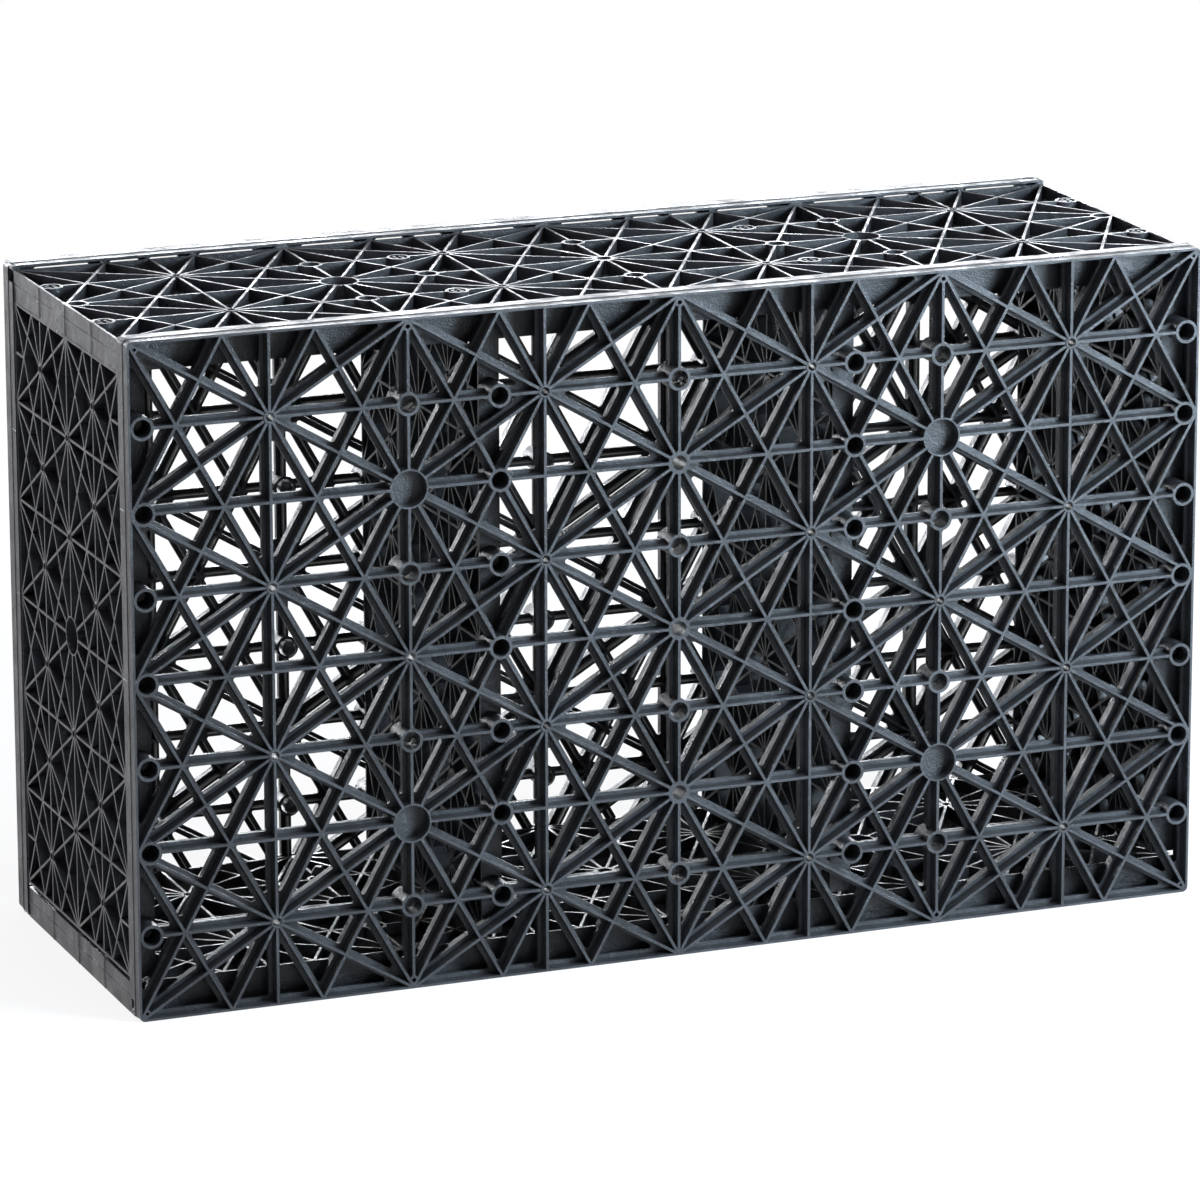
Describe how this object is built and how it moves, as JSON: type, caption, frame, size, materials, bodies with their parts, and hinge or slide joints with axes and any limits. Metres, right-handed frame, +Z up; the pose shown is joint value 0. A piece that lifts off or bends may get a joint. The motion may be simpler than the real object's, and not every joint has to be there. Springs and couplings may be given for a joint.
{
  "type": "soakaway crate",
  "caption": "Box of plugged-together lattice plates in black plastic, open on every side, which stores rainwater underground while it soaks away.",
  "frame": {"origin": "middle of the footprint, on the ground", "axes": "+X along the length, +Z up, front plate facing -Y"},
  "size_m": [0.685, 0.242, 0.41],
  "materials": {
    "black_plastic": "satin moulded black polypropylene"
  },
  "bodies": {
    "root": {"front_plate": "black_plastic", "back_plate": "black_plastic", "top_plate": "black_plastic", "bottom_plate": "black_plastic", "left_end_plate": "black_plastic", "right_end_plate": "black_plastic", "inner_plate_left": "black_plastic", "inner_plate_right": "black_plastic"}
  },
  "joints": []
}
